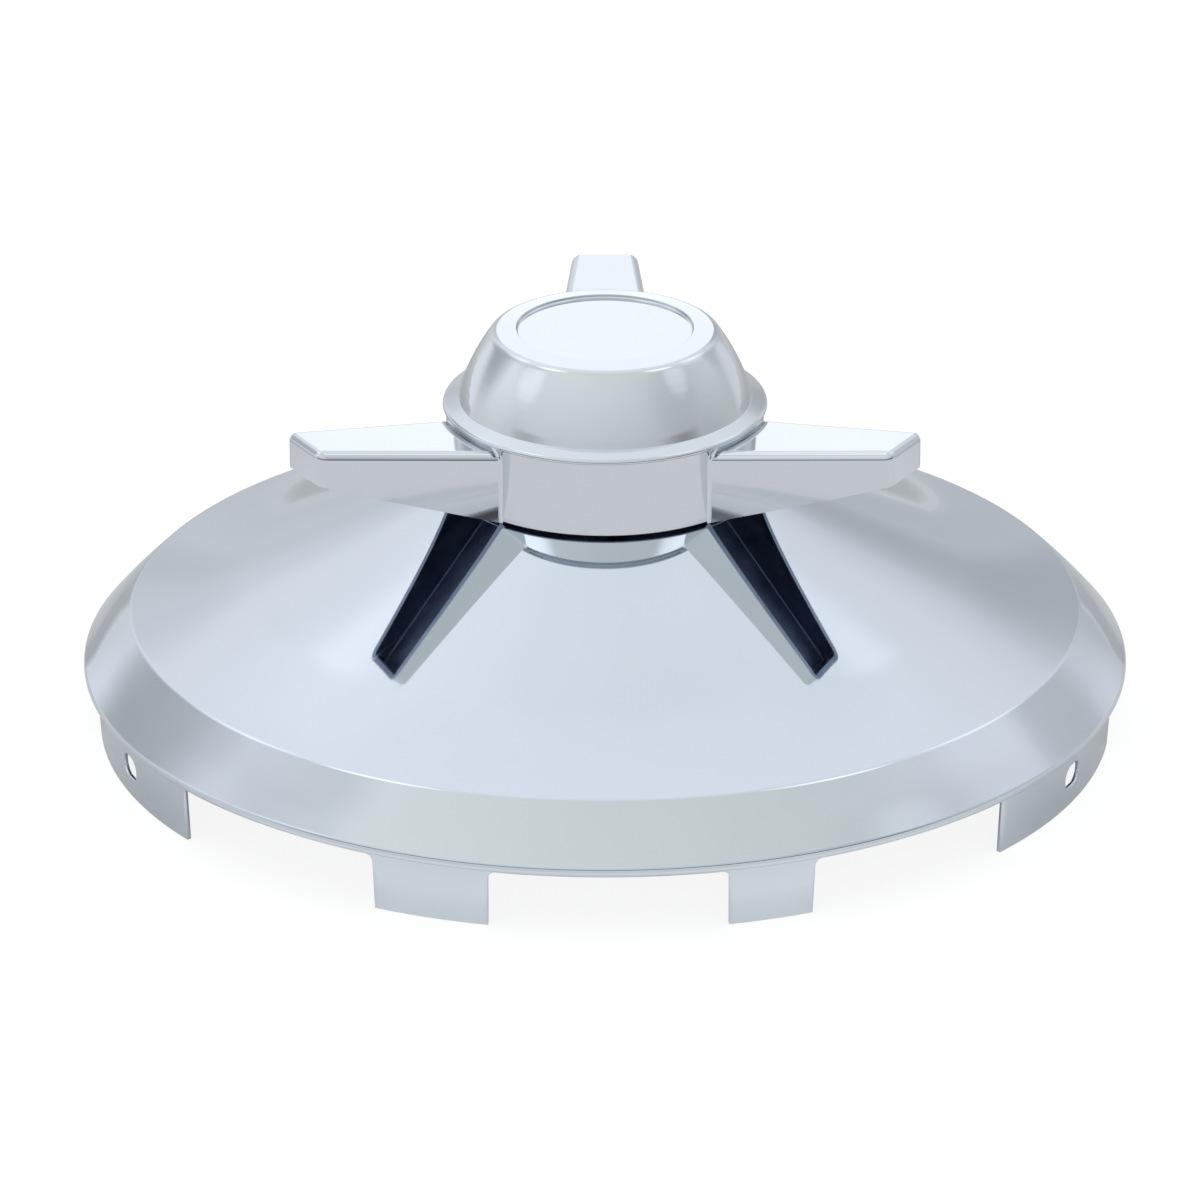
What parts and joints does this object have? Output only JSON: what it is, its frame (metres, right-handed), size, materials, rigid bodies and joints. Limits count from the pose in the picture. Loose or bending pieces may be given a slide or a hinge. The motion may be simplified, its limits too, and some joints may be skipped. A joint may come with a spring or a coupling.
{
  "type": "spinner hubcap",
  "caption": "Round pressed hubcap with a conical face, a notched skirt and a cast bar spinner clamped at its centre.",
  "frame": {"origin": "centre of the plane that the tabs' ends stand on, on the wheel's axis", "axes": "+Z along the wheel's axis, from the tabs' ends towards the spinner's top; +Y towards the blade that points to the back"},
  "size_m": [0.224, 0.224, 0.0899],
  "materials": {
    "chromed_sheet": "mirror chrome plate on pressed steel sheet",
    "chromed_casting": "mirror chrome plate on a die casting",
    "zinc_plated_steel": "bright zinc plate",
    "spring_steel": "dark oiled spring steel"
  },
  "bodies": {
    "root": {"hub_cap": "chromed_sheet", "spinner": "chromed_casting", "stud": "zinc_plated_steel", "clamp_washer": "zinc_plated_steel", "lock_washer": "spring_steel", "hex_nut": "zinc_plated_steel"}
  },
  "joints": []
}
